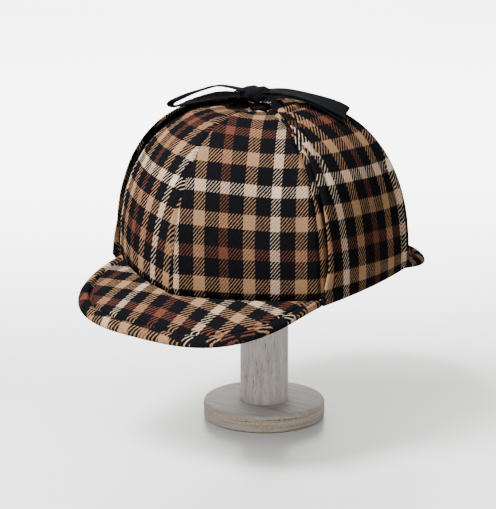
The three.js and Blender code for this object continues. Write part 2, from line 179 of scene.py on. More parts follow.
@dataclass(frozen=True)
class CrownForm:
    """Form of the crown, measured from its button's axis, in millimetres."""

    front: float = 92.4
    back: float = 102.0
    half_width: float = 82.2
    height: float = 108.7
    squareness: float = 2.36
    belly: float = 0.011
    belly_rate: float = 1.6
    wall: float = 2.5
    dent: float = 7.0
    dent_radius: float = 29.0
    shoulder: float = 3.6
    hole_radius: float = 3.0
    round_bulge: float = 0.134
    measure_steps: int = 160
    # Seams round from the front: share of the half width, share of the reach, bulge of the next panel
    seams: tuple[tuple[float, float, float], ...] = (
        (0, -1, 0.06),
        (1, -0.496, 0.03),
        (0.944, 0.496, 0.064),
        (0, 1, 0.064),
        (-0.944, 0.496, 0.03),
        (-1, -0.496, 0.06),
    )

    def seam(self, number: int) -> np.ndarray:
        """Return the plan of a seam at the rim."""
        across, along, _ = self.seams[number % len(self.seams)]
        return np.array([across * self.half_width, along * (self.front if along < 0 else self.back)])

    def panel_width(self, panel: int) -> float:
        """Return a panel's width at the rim, straight from seam to seam."""
        return float(np.linalg.norm(self.seam(panel + 1) - self.seam(panel)))

    def ring_share(self, level: Grid) -> Grid:
        """Return how far in the ring at a level is, as a share of the rim."""
        return np.cos(np.clip(level, 0, 1) * np.pi / 2) ** (2 / self.squareness)

    def level_of(self, share: float) -> float:
        """Return the level whose ring is a share of the rim."""
        return math.acos(share ** (self.squareness / 2)) * 2 / math.pi

    @property
    def top_level(self) -> float:
        """Level of the small hole under the button."""
        return self.level_of(self.hole_radius / self.half_width)

    def plan(self, turn: Grid, level: Grid) -> np.ndarray:
        """Find the rim's plan at a turn round the crown; higher levels are rounder.

        Args:
            turn: Turn round the crown, 0 at the front seam and 1 more for each panel.
            level: Share of the way from the rim to the button.

        Returns:
            Plan points, with x and y in the last axis.
        """
        turn, level = np.broadcast_arrays(np.asarray(turn, float), np.asarray(level, float))
        panel = np.floor(turn).astype(int)
        share = turn - panel
        panel = panel % len(self.seams)
        plans = np.array([self.seam(number) for number in range(len(self.seams) + 1)])
        start, chord = plans[panel], plans[panel + 1] - plans[panel]
        rim_bulge = np.array([row[2] for row in self.seams])[panel]
        bulge = 4 * share * (1 - share) * mix(rim_bulge, self.round_bulge, level**2)
        outwards = np.stack([chord[..., 1], -chord[..., 0]], -1) * bulge[..., None]
        return start + chord * share[..., None] + outwards

    def cloth(self, turn: Grid, level: Grid, lift: Grid) -> np.ndarray:
        """Find points of the crown's cloth.

        Args:
            turn: Turn round the crown.
            level: Share of the way from the rim to the button.
            lift: Height off the cloth's outside face, in millimetres.

        Returns:
            Points in the hat's own frame, with x, y and z in the last axis.
        """
        plan = self.plan(turn, level)
        level = np.broadcast_to(np.asarray(level, float), plan.shape[:-1])
        lift = np.broadcast_to(np.asarray(lift, float), plan.shape[:-1])
        belly = 1 + self.belly * np.sin(np.pi * np.minimum(self.belly_rate * level, 1))
        reach = np.linalg.norm(plan, axis=-1)
        plan = plan * ((1 + lift / reach) * self.ring_share(level) * belly)[..., None]
        radius = np.linalg.norm(plan, axis=-1)
        rise = np.sin(np.clip(level, 0, 1) * np.pi / 2) ** (2 / self.squareness)
        dent = self.dent * hill(radius, self.dent_radius)
        facing_front = np.maximum(-plan[..., 1] / np.maximum(radius, 1e-6), 0) ** 4
        shoulder = self.shoulder * np.sin(np.pi * level) * facing_front
        height = rise * (self.height + lift) + shoulder - dent
        return np.concatenate([plan, height[..., None]], -1)

    def height_up(self, turn: float, levels: np.ndarray) -> np.ndarray:
        """Measure up the cloth from the rim to each level.

        Args:
            turn: Turn along which it is measured.
            levels: Levels to reach, in rising order.

        Returns:
            Distances in millimetres.
        """
        fine = np.linspace(0, float(levels[-1]), self.measure_steps)
        line = self.cloth(turn, fine, 0)
        steps = np.linalg.norm(np.diff(line, axis=0), axis=-1)
        return np.interp(levels, fine, np.concatenate([[0], np.cumsum(steps)]))

    def across_from(self, middle: float, turns: np.ndarray, levels: np.ndarray) -> np.ndarray:
        """Measure over the cloth from a middle line to each place, along its level.

        Args:
            middle: Turn of the middle line.
            turns: Grid of turns that rise along the last axis.
            levels: Grid of levels, the same shape.

        Returns:
            Signed distances in millimetres.
        """
        points = self.cloth(turns, levels, 0)
        steps = np.linalg.norm(np.diff(points, axis=1), axis=-1)
        run = np.concatenate([np.zeros((len(points), 1)), np.cumsum(steps, axis=1)], axis=1)
        at_middle = np.array([np.interp(middle, turns[i], run[i]) for i in range(len(run))])
        return run - at_middle[:, None]


HAT = HatPlace()
CROWN = CrownForm()


class Sheet:
    """A closed sheet of cloth between two grids of points, with its cloth map."""

    def __init__(self, outer: np.ndarray, inner: np.ndarray, cloth: np.ndarray) -> None:
        """Keep the two faces and the place of each point in the flat cloth.

        Args:
            outer: Outside face, rows by columns by 3, in millimetres.
            inner: Inside face, the same shape.
            cloth: Place in the flat cloth, rows by columns by 2, in millimetres.
        """
        self.outer = outer
        self.inner = inner
        self.cloth = cloth
        self.inside_cloth = cloth

    def mirror(self, flip: int) -> None:
        """Put both faces on the wearer's other side where flip is -1, or leave them where it is 1."""
        for face in (self.outer, self.inner):
            face[..., 0] *= flip

    def round_edges(self, distance: np.ndarray, radius: Grid) -> None:
        """Draw both faces together near an edge, so that it is round.

        Args:
            distance: Distance of each point from the edge, in millimetres.
            radius: Distance over which the edge rounds off.
        """
        near = np.clip(distance / radius, 0, 1)
        fullness = np.sqrt(1 - (1 - near) ** 2)[..., None]
        middle = (self.outer + self.inner) / 2
        self.outer = middle + (self.outer - middle) * fullness
        self.inner = middle + (self.inner - middle) * fullness

    def build(self, name: str, place: Matrix) -> Piece:
        """Make the sheet's object.

        Args:
            name: Name of the piece.
            place: Place of the sheet's frame, in millimetres.

        Returns:
            The new object, in metres, with a smooth surface and the cloth map.
        """
        rows, columns = self.outer.shape[:2]
        size = rows * columns
        points = np.concatenate([self.outer.reshape(-1, 3), self.inner.reshape(-1, 3)])
        index = np.arange(size).reshape(rows, columns)
        corners = [index[:-1, :-1], index[:-1, 1:], index[1:, 1:], index[1:, :-1]]
        top = np.stack(corners, -1).reshape(-1, 4)
        under = top[:, ::-1] + size
        walls = []
        for line in (index[:, 0][::-1], index[:, -1], index[0], index[-1][::-1]):
            walls.append(np.stack([line[:-1], line[:-1] + size, line[1:] + size, line[1:]], -1))
        faces = np.concatenate([top, under, *walls])
        place_m = np.array(place)
        world = (points @ place_m[:3, :3].T + place_m[:3, 3]) * MM
        a, b, c, d = (world[faces[:, i]] for i in range(4))
        volume = np.einsum("ij,ij->i", a, np.cross(b, c) + np.cross(c, d)).sum()
        if volume < 0:
            faces = faces[:, ::-1]
        uv = np.concatenate([self.cloth.reshape(-1, 2), self.inside_cloth.reshape(-1, 2)]) / CLOTH_UNIT
        return mesh_object(name, world, faces, uv)


def mesh_object(name: str, points: np.ndarray, faces: Sequence, uv: np.ndarray | None = None) -> Piece:
    """Make a smooth mesh object.

    Args:
        name: Name of the piece.
        points: Vertices in metres.
        faces: Lists of vertex numbers.
        uv: Place of each vertex in the cloth map, if it has one.

    Returns:
        The new object, linked to the scene.
    """
    mesh = bpy.data.meshes.new(name)
    mesh.from_pydata([tuple(p) for p in points], [], [tuple(int(i) for i in f) for f in faces])
    mesh.shade_smooth()
    if uv is not None:
        layer = mesh.uv_layers.new(name=CLOTH_MAP)
        loops = np.zeros(len(mesh.loops), np.int32)
        mesh.loops.foreach_get("vertex_index", loops)
        layer.data.foreach_set("uv", uv[loops].astype(np.float32).ravel())
    piece = bpy.data.objects.new(name, mesh)
    bpy.context.scene.collection.objects.link(piece)
    return piece


def dress(piece: Piece, material: Material, slot: Slot, *nodes: str) -> None:
    """Give a piece its finish and its place in the frame.

    Args:
        piece: The new piece.
        material: Its finish.
        slot: The record's material slot; not used.
        nodes: CAD nodes that it stands for.
    """
    piece.data.materials.clear()
    piece.data.materials.append(material)
    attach(piece, "root")
    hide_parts(*nodes)
    log.info("%s: %d faces", piece.name, len(piece.data.polygons))


class Patch:
    """Adds nodes to one shader tree and joins them up."""

    def __init__(self, tree: Tree) -> None:
        """Keep the tree that the nodes go into."""
        self.tree = tree

    def add(self, kind: str, **settings) -> Node:
        """Add a node.

        Args:
            kind: Blender's type name for the node.
            settings: Values of the node's own properties.

        Returns:
            The new node.
        """
        node = self.tree.nodes.new(kind)
        for key, value in settings.items():
            setattr(node, key, value)
        return node

    def feed(self, socket: Socket, value: Input) -> None:
        """Link a socket to another one, or set its value.

        Args:
            socket: The input to fill.
            value: Socket to link it to, or its value.
        """
        if isinstance(value, Socket):
            self.tree.links.new(value, socket)
        elif isinstance(value, tuple) and len(value) == 3 and socket.type == "RGBA":
            socket.default_value = (*value, 1)
        else:
            socket.default_value = value

    def fill(self, node: Node, **values: Input) -> Node:
        """Link or set a node's inputs.

        Args:
            node: The node.
            values: Its inputs, with underscores for the spaces in their names.

        Returns:
            The node.
        """
        for key, value in values.items():
            self.feed(node.inputs[key.replace("_", " ")], value)
        return node

    def math(self, operation: str, *values: Input) -> Socket:
        """Add a Math node.

        Args:
            operation: Blender's name for what it does.
            values: Its inputs, in order.

        Returns:
            Its result.
        """
        node = self.add("ShaderNodeMath", operation=operation)
        for socket, value in zip(node.inputs, values):
            self.feed(socket, value)
        return node.outputs[0]

    def smooth(self, value: Input, low: float, high: float) -> Socket:
        """Return a mask that rises smoothly from 0 at low to 1 at high."""
        node = self.add("ShaderNodeMapRange", interpolation_type="SMOOTHSTEP")
        return self.fill(node, Value=value, From_Min=low, From_Max=high).outputs[0]

    def ranged(self, value: Input, low: float, high: float) -> Socket:
        """Return a value from 0 to 1 spread between low and high."""
        node = self.add("ShaderNodeMapRange")
        return self.fill(node, Value=value, To_Min=low, To_Max=high).outputs[0]

    def blend(self, share: Input, low: Input, high: Input, kind: str = "MIX") -> Socket:
        """Mix two colours.

        Args:
            share: How much of the second one shows.
            low: First colour.
            high: Second colour.
            kind: Blender's name for the way they mix.

        Returns:
            The mixed colour.
        """
        node = self.add("ShaderNodeMix", data_type="RGBA", blend_type=kind)
        self.feed(node.inputs[0], share)
        self.feed(node.inputs[6], low)
        self.feed(node.inputs[7], high)
        return node.outputs[2]

    def noise(self, vector: Socket, scale: float, detail: float = 2.0, roughness: float = 0.5) -> Socket:
        """Add a noise texture and return its value.

        Args:
            vector: Coordinates.
            scale: How fine it is.
            detail: How many octaves it has.
            roughness: How strong the finer octaves are.

        Returns:
            The noise, about 0.5 in the middle.
        """
        node = self.add("ShaderNodeTexNoise")
        self.fill(node, Vector=vector, Scale=scale, Detail=detail, Roughness=roughness)
        return node.outputs["Fac"]

    def stretched(self, vector: Socket, *shares: float) -> Socket:
        """Stretch coordinates.

        Args:
            vector: Coordinates.
            shares: What they are multiplied by each way.

        Returns:
            The stretched coordinates.
        """
        node = self.add("ShaderNodeVectorMath", operation="MULTIPLY")
        self.feed(node.inputs[0], vector)
        self.feed(node.inputs[1], shares)
        return node.outputs[0]

    def parts(self, vector: Socket) -> tuple[Socket, ...]:
        """Return the three parts of a vector."""
        return tuple(self.fill(self.add("ShaderNodeSeparateXYZ"), Vector=vector).outputs)

    def green(self, colour: Socket) -> Socket:
        """Return a colour's green, which says how light a yarn's dye is."""
        return self.fill(self.add("ShaderNodeSeparateColor"), Color=colour).outputs["Green"]

    def cloth_map(self) -> tuple[Socket, ...]:
        """Find the place in the flat cloth.

        Returns:
            The place in millimetres, and its two parts, across the cloth and up it.
        """
        uv = self.add("ShaderNodeUVMap", uv_map=CLOTH_MAP)
        cloth = self.stretched(uv.outputs[0], CLOTH_UNIT, CLOTH_UNIT, 1)
        across, up, _ = self.parts(cloth)
        return cloth, across, up

    def group(self, tree: Tree, **values: Input) -> Node:
        """Place a node group and fill its inputs."""
        return self.fill(self.add("ShaderNodeGroup", node_tree=tree), **values)

    def bump(self, height: Socket, distance: float) -> Socket:
        """Return the normal of small relief.

        Args:
            height: Height over the surface, from 0 to 1.
            distance: Depth of the relief, in metres.

        Returns:
            The normal.
        """
        return self.fill(self.add("ShaderNodeBump"), Distance=distance, Height=height).outputs[0]


def new_group(name: str, inputs: dict[str, str], outputs: dict[str, str]) -> tuple[Patch, dict, dict]:
    """Start a shader node group.

    Args:
        name: Name of the group.
        inputs: Input names and socket types.
        outputs: Output names and socket types.

    Returns:
        The group's patch, its input sockets and its output sockets.
    """
    tree = bpy.data.node_groups.new(name, "ShaderNodeTree")
    for key, kind in inputs.items():
        tree.interface.new_socket(name=key, in_out="INPUT", socket_type=kind)
    for key, kind in outputs.items():
        tree.interface.new_socket(name=key, in_out="OUTPUT", socket_type=kind)
    patch = Patch(tree)
    source = patch.add("NodeGroupInput")
    sink = patch.add("NodeGroupOutput")
    return patch, {s.name: s for s in source.outputs}, {s.name: s for s in sink.inputs}


def new_material(name: str) -> tuple[Material, Patch, Node]:
    """Start a material.

    Args:
        name: Name of the material.

    Returns:
        The material, its patch and its Principled shader.
    """
    material = bpy.data.materials.new(name)
    material.use_nodes = True
    shader = material.node_tree.nodes["Principled BSDF"]
    return material, Patch(material.node_tree), shader


@dataclass(frozen=True)
class PlaidWool:
    """Brushed wool twill in a plaid of evenly spaced stripes, in millimetres."""

    ground: Colour = paint(11, 11, 13)
    tan: Colour = paint(113, 86, 63)
    rust: Colour = paint(71, 41, 31)
    white: Colour = paint(161, 141, 121)
    column_pitch: float = 16.2
    row_pitch: float = 20.3
    wide_stripe: float = 0.455
    narrow_stripe: float = 0.36
    twill_across: float = 2.1
    twill_up: float = 2.65
    stripe_softness: float = 0.015
    wander: float = 0.5
    # Where a yarn starts to show on top, where it shows in full, and how fully; short of that the twill's
    # valleys show painted shade
    float_start: float = 0.1
    float_full: float = 0.72
    float_strength: float = 0.86
    # How much thinner the lighter yarns look, which widens the painted valley shade beside them
    pale_thinning: float = 1.3
    ridge_height: float = 0.55
    darkest_speckle: float = -0.1
    lightest_speckle: float = 2.1
    roughness: float = 0.95
    # Depth of the relief, in metres
    relief: float = 0.0003

    def stripes_group(self) -> Tree:
        """Make the group that dyes a yarn by its place across the sett.

        Returns:
            The group.
        """
        patch, source, sink = new_group("stripe_yarn", {"Place": NUMBER, "Pitch": NUMBER}, {"Color": COLOUR})
        count = patch.math("DIVIDE", source["Place"], source["Pitch"])
        from_middle = patch.math("ABSOLUTE", patch.math("SUBTRACT", count, patch.math("ROUND", count)))
        odd = patch.math("PINGPONG", patch.math("ROUND", count), 1)
        narrower = (self.narrow_stripe - self.wide_stripe) / 2
        half = patch.math("MULTIPLY_ADD", odd, narrower, self.wide_stripe / 2)
        inside = patch.math("SUBTRACT", half, from_middle)
        mask = patch.smooth(inside, -self.stripe_softness, self.stripe_softness)
        turn = patch.math("FRACT", patch.math("DIVIDE", patch.math("ADD", count, 0.5), 4))
        ramp = patch.add("ShaderNodeValToRGB")
        ramp.color_ramp.interpolation = "CONSTANT"
        stops = ramp.color_ramp.elements
        stops.new(0.5)
        stops.new(0.75)
        for number, (stop, shade) in enumerate(zip(stops, (self.tan, self.white, self.tan, self.rust))):
            stop.position = number / 4
            stop.color = (*shade, 1)
        patch.feed(ramp.inputs[0], turn)
        patch.feed(sink["Color"], patch.blend(mask, self.ground, ramp.outputs[0]))
        return patch.tree

    def twill_group(self) -> Tree:
        """Make the group that says which yarn lies on top, from -1 to 1, and how high it stands.

        Returns:
            The group.
        """
        outputs = {"Wave": NUMBER, "Height": NUMBER, "Fibre": NUMBER}
        patch, source, sink = new_group("twill_weave", {"Cloth": VECTOR}, outputs)
        place = patch.parts(source["Cloth"])
        wander = patch.math("MULTIPLY", patch.noise(source["Cloth"], 0.9, 2.0), self.wander)
        across = patch.math("DIVIDE", place[0], self.twill_across)
        up = patch.math("DIVIDE", place[1], self.twill_up)
        phase = patch.math("ADD", patch.math("SUBTRACT", across, up), wander)
        wave = patch.math("SINE", patch.math("MULTIPLY", phase, 2 * math.pi))
        patch.feed(sink["Wave"], wave)
        fibre = patch.noise(source["Cloth"], 1.15, 4.0, 0.8)
        ridge = patch.math("ABSOLUTE", wave)
        patch.feed(sink["Height"], patch.math("MULTIPLY_ADD", ridge, self.ridge_height, fibre))
        patch.feed(sink["Fibre"], fibre)
        return patch.tree

    def make(
        self,
        name: str,
        groups: "Wool",
        white_column: float,
        white_row: float,
        coarseness: float = 1.0,
    ) -> Material:
        """Make the wool for one piece.

        Args:
            name: Name of the material.
            groups: The shared node groups.
            white_column: Distance of a white column from the cloth map's middle line.
            white_row: Distance of a white row above the cloth map's start.
            coarseness: How coarse the twill lines are.

        Returns:
            The material.
        """
        material, patch, shader = new_material(name)
        cloth, along, up = patch.cloth_map()
        along = patch.math("ADD", along, self.column_pitch - white_column)
        up = patch.math("ADD", up, self.row_pitch - white_row)
        warp = patch.group(groups.stripes, Place=along, Pitch=self.column_pitch).outputs[0]
        weft = patch.group(groups.stripes, Place=up, Pitch=self.row_pitch).outputs[0]
        thread = patch.stretched(cloth, 1 / coarseness, 1 / coarseness, 1)
        weave = patch.group(groups.twill, Cloth=thread)
        # Painted shade in the twill's valleys: where neither yarn lies fully on top, a crossing with a black
        # yarn shows black, and two pale yarns show their mean
        valley_shade = patch.blend(1.0, warp, weft, "DARKEN")
        no_ground = patch.smooth(patch.green(valley_shade), 0.006, 0.02)
        yarns_and_valley_shade = patch.blend(no_ground, valley_shade, patch.blend(0.5, warp, weft))
        for side, yarn in ((1, weft), (-1, warp)):
            thinner = patch.math("MULTIPLY", patch.green(yarn), -self.pale_thinning)
            on_top = patch.math("MULTIPLY_ADD", weave.outputs["Wave"], side, thinner)
            shows = patch.smooth(on_top, self.float_start, self.float_full)
            share = patch.math("MULTIPLY", shows, self.float_strength)
            yarns_and_valley_shade = patch.blend(share, yarns_and_valley_shade, yarn)
        speckle = patch.ranged(weave.outputs["Fibre"], self.darkest_speckle, self.lightest_speckle)
        tinted = patch.blend(1.0, yarns_and_valley_shade, speckle, "MULTIPLY")
        normal = patch.bump(weave.outputs["Height"], self.relief)
        patch.fill(shader, Base_Color=tinted, Roughness=self.roughness, Normal=normal)
        patch.fill(shader, Specular_IOR_Level=0.0)
        return material


class Wool:
    """The plaid wool, with the node groups that all its materials share."""

    def __init__(self, plaid: PlaidWool) -> None:
        """Build the groups once.

        Args:
            plaid: The wool's finish.
        """
        self.plaid = plaid
        self.stripes = plaid.stripes_group()
        self.twill = plaid.twill_group()

    def dress(self, piece: Piece, node: str, *weave: float) -> None:
        """Dress one piece of the hat.

        Args:
            piece: The new piece.
            node: CAD node that it stands for.
            weave: White column, white row and coarseness of its plaid.
        """
        dress(piece, self.plaid.make(f"wool_{node}", self, *weave), Slot.WOOL, node)


@dataclass(frozen=True)
class RibbonFinish:
    """Black ribbed ribbon with a low sheen; ribs run across it."""

    shade: Colour = paint(11, 12, 14)
    lit: Colour = paint(14, 15, 18)
    rib: float = 0.9
    smoothest: float = 0.55
    roughest: float = 0.8
    specular: float = 0.003
    # Height of a rib beside the slubs, and depth of the whole relief in metres
    rib_height: float = 0.35
    relief: float = 0.00025

    def make(self) -> Material:
        """Make the ribbon's material.

        Returns:
            The material.
        """
        material, patch, shader = new_material("black_ribbon")
        cloth, _, run = patch.cloth_map()
        wave = patch.math("SINE", patch.math("MULTIPLY", run, 2 * math.pi / self.rib))
        slub = patch.noise(cloth, 0.8, 3.0, 0.6)
        colour = patch.blend(slub, self.shade, self.lit)
        roughness = patch.ranged(slub, self.smoothest, self.roughest)
        height = patch.math("MULTIPLY_ADD", wave, self.rib_height, slub)
        patch.fill(shader, Base_Color=colour, Roughness=roughness, Normal=patch.bump(height, self.relief))
        patch.fill(shader, Specular_IOR_Level=self.specular)
        return material


@dataclass(frozen=True)
class WhitewashedWood:
    """Pale painted wood whose grain shows through the wash."""

    wash: Colour = paint(178, 171, 166)
    thin: Colour = paint(157, 149, 143)
    streak: Colour = paint(38, 33, 32)
    disc: Colour = paint(154, 149, 143)
    disc_thin: Colour = paint(134, 127, 120)
    layer: Colour = paint(146, 122, 97)
    relief: float = 0.0002
    # How fine the grain is each way, per metre: in the post, on the base, in its side's layers and grit
    post_grain: tuple[float, float, float] = (1300, 1300, 100)
    base_grain: tuple[float, float, float] = (60, 700, 60)
    ply_grain: tuple[float, float, float] = (22, 22, 640)
    grit_grain: tuple[float, float, float] = (650, 650, 1100)
    grit: float = 0.9
    # How bare the pores are in each piece, where 1 is without any wash
    post_bare: float = 0.8
    base_bare: float = 0.22
    # Where in the bands a layer shows, and where a dark streak
    layer_from: tuple[float, float] = (0.47, 0.57)
    streak_from: tuple[float, float] = (0.66, 0.74)
    # Shares of the base's height between which its side gives way to the washed top
    top_from: tuple[float, float] = (0.93, 1.04)
    waver: float = 0.0018
    waver_scale: float = 60

    def grain_group(self) -> Tree:
        """Make the group that paints washed grain along stretched coordinates.

        Returns:
            The group.
        """
        patch, source, sink = new_group(
            "washed_grain",
            {"Place": VECTOR, "Bare": NUMBER, "Wash": COLOUR, "Thin": COLOUR},
            {"Color": COLOUR, "Height": NUMBER, "Roughness": NUMBER},
        )
        broad = patch.noise(source["Place"], 0.35, 3.0, 0.55)
        fine = patch.noise(source["Place"], 1.6, 4.0, 0.65)
        colour = patch.blend(patch.smooth(broad, 0.35, 0.7), source["Wash"], source["Thin"])
        pores = patch.math("MULTIPLY", patch.smooth(fine, 0.585, 0.66), source["Bare"])
        patch.feed(sink["Color"], patch.blend(pores, colour, self.streak))
        patch.feed(sink["Height"], patch.math("SUBTRACT", fine, pores))
        patch.feed(sink["Roughness"], patch.ranged(fine, 0.6, 0.85))
        return patch.tree

    def make_post(self, grain: Tree) -> Material:
        """Make the post's material, with its grain upright.

        Args:
            grain: The shared grain group.

        Returns:
            The material.
        """
        material, patch, shader = new_material("washed_post")
        place = patch.add("ShaderNodeTexCoord").outputs["Object"]
        upright = patch.stretched(place, *self.post_grain)
        run = patch.group(grain, Place=upright, Bare=self.post_bare, Wash=self.wash, Thin=self.thin)
        normal = patch.bump(run.outputs["Height"], self.relief)
        patch.fill(shader, Base_Color=run.outputs["Color"], Roughness=run.outputs["Roughness"], Normal=normal)
        return material

    def make_base(self, grain: Tree, height: float) -> Material:
        """Make the base's material: washed top, and layers in its side.

        Args:
            grain: The shared grain group.
            height: The base's thickness, in metres.

        Returns:
            The material.
        """
        material, patch, shader = new_material("washed_base")
        place = patch.add("ShaderNodeTexCoord").outputs["Object"]
        along = patch.stretched(place, *self.base_grain)
        run = patch.group(grain, Place=along, Bare=self.base_bare, Wash=self.disc, Thin=self.disc_thin)
        waver = patch.math("MULTIPLY", patch.noise(place, self.waver_scale, 2.0), self.waver)
        level = patch.math("ADD", patch.parts(place)[2], waver)
        ply = patch.noise(patch.stretched(place, *self.ply_grain), 1.0, 3.0, 0.6)
        grit = patch.noise(patch.stretched(place, *self.grit_grain), 1.0, 4.0, 0.85)
        bands = patch.math("MULTIPLY_ADD", patch.math("SUBTRACT", grit, 0.5), self.grit, ply)
        side = patch.blend(patch.smooth(bands, *self.layer_from), self.disc, self.layer)
        side = patch.blend(patch.smooth(bands, *self.streak_from), side, self.streak)
        on_top = patch.smooth(level, *(height * share for share in self.top_from))
        on_side = patch.math("SUBTRACT", 1.0, on_top)
        colour = patch.blend(on_side, run.outputs["Color"], side)
        normal = patch.bump(patch.math("ADD", run.outputs["Height"], bands), self.relief)
        patch.fill(shader, Base_Color=colour, Roughness=run.outputs["Roughness"], Normal=normal)
        return material


@dataclass
class Studio:
    """Camera, pale sweep and soft lights."""

    azimuth: float = 37.704
    elevation: float = 14.661
    distance: float = 1712.164
    focal_pixels: float = 2605.169
    aim_right: float = -10.774
    aim_up: float = 110.576
    floor_reach: float = 6.0
    wall_reach: float = 1.6
    sweep_radius: float = 0.8
    sweep_steps: int = 12
    sweep_dark: Colour = paint(183, 183, 181)
    sweep_light: Colour = paint(187, 187, 186)
    room_glow: float = 0.55
    panel_aim: float = 0.14
    # Name, degrees round from the front, degrees up, distance and side in metres, power in watts
    panels: tuple[tuple[str, float, float, float, float, float], ...] = (
        ("top_panel", 20, 70, 1.9, 1.6, 16),
        ("key_panel", -28, 59, 1.8, 0.62, 132),
        ("front_panel", -5, 35, 1.8, 1.1, 36),
        ("fill_panel", 85, 25, 2.0, 1.2, 12),
    )
    # The light over the floor behind the stand, which shines on the far wall
    wall_size: float = 2.2
    wall_power: float = 480
    wall_light_reach: float = 0.9
    wall_height: float = 1.5
    wall_aim: float = 0.55

    @property
    def away(self) -> Vector:
        """Level direction away from the camera."""
        turn = math.radians(self.azimuth)
        return Vector((-math.sin(turn), math.cos(turn), 0))

    @staticmethod
    def towards(azimuth: float, elevation: float) -> Vector:
        """Return the direction at an azimuth and an elevation, in degrees."""
        turn, lift = math.radians(azimuth), math.radians(elevation)
        return Vector((math.sin(turn) * math.cos(lift), -math.cos(turn) * math.cos(lift), math.sin(lift)))

    def set_camera(self) -> None:
        """Place the camera where the photograph was taken from."""
        back = self.towards(self.azimuth, self.elevation)
        right = self.away.cross(Vector((0, 0, 1)))
        up = back.cross(right)
        target = right * self.aim_right + Vector((0, 0, self.aim_up))
        data = bpy.data.cameras.new("photo_camera")
        data.sensor_fit = "HORIZONTAL"
        data.sensor_width = SENSOR_WIDTH
        data.lens = self.focal_pixels * SENSOR_WIDTH / PHOTO_WIDTH
        data.clip_end = 50
        camera = bpy.data.objects.new("photo_camera", data)
        facing = Matrix((right, up, back)).transposed().to_4x4()
        camera.matrix_world = Matrix.Translation((target + back * self.distance) * MM) @ facing
        bpy.context.scene.collection.objects.link(camera)
        bpy.context.scene.camera = camera

    def lay_sweep(self) -> None:
        """Make the pale floor, which curves up into a wall far behind the stand."""
        away = np.array(self.away)[:2]
        side = np.array([away[1], -away[0]])
        profile = [(-self.floor_reach, 0.0), (self.wall_reach, 0.0)]
        for step in range(1, self.sweep_steps + 1):
            angle = step / self.sweep_steps * math.pi / 2
            bend = self.sweep_radius * np.array([math.sin(angle), 1 - math.cos(angle)])
            profile.append((self.wall_reach + bend[0], bend[1]))
        profile.append((profile[-1][0], self.floor_reach))
        points = []
        for reach, height in profile:
            for shift in (-self.floor_reach, self.floor_reach):
                points.append((*(away * reach + side * shift), height))
        faces = [(2 * i, 2 * i + 1, 2 * i + 3, 2 * i + 2) for i in range(len(profile) - 1)]
        sweep = mesh_object("studio_sweep", np.array(points), faces)
        material, patch, shader = new_material("pale_sweep")
        place = patch.add("ShaderNodeTexCoord").outputs["Object"]
        tone = patch.blend(patch.noise(place, 3.0, 2.0), self.sweep_dark, self.sweep_light)
        patch.fill(shader, Base_Color=tone, Roughness=0.32, Specular_IOR_Level=0.25)
        sweep.data.materials.append(material)

    def hang_lights(self) -> None:
        """Hang the soft lights and set the room's even glow."""
        world = bpy.data.worlds.new("studio_room")
        world.use_nodes = True
        glow = world.node_tree.nodes["Background"]
        glow.inputs[0].default_value = (1, 1, 1, 1)
        glow.inputs[1].default_value = self.room_glow
        bpy.context.scene.world = world
        for name, azimuth, elevation, distance, size, power in self.panels:
            back = self.towards(azimuth, elevation)
            self.add_light(name, back * distance + Vector((0, 0, self.panel_aim)), back, size, power)
        over_floor = self.away * self.wall_light_reach + Vector((0, 0, self.wall_height))
        back = Vector((0, 0, self.wall_aim)) - self.away
        self.add_light("wall_light", over_floor, back, self.wall_size, self.wall_power)

    @staticmethod
    def add_light(name: str, place: Vector, back: Vector, size: float, power: float) -> None:
        """Hang one square panel.

        Args:
            name: Name of the light.
            place: Its middle, in metres.
            back: Direction from what it shines on to the panel.
            size: Side of the panel, in metres.
            power: Power in watts.
        """
        data = bpy.data.lights.new(name, "AREA")
        data.size = size
        data.energy = power
        light = bpy.data.objects.new(name, data)
        light.location = place
        light.rotation_euler = back.to_track_quat("Z", "Y").to_euler()
        bpy.context.scene.collection.objects.link(light)


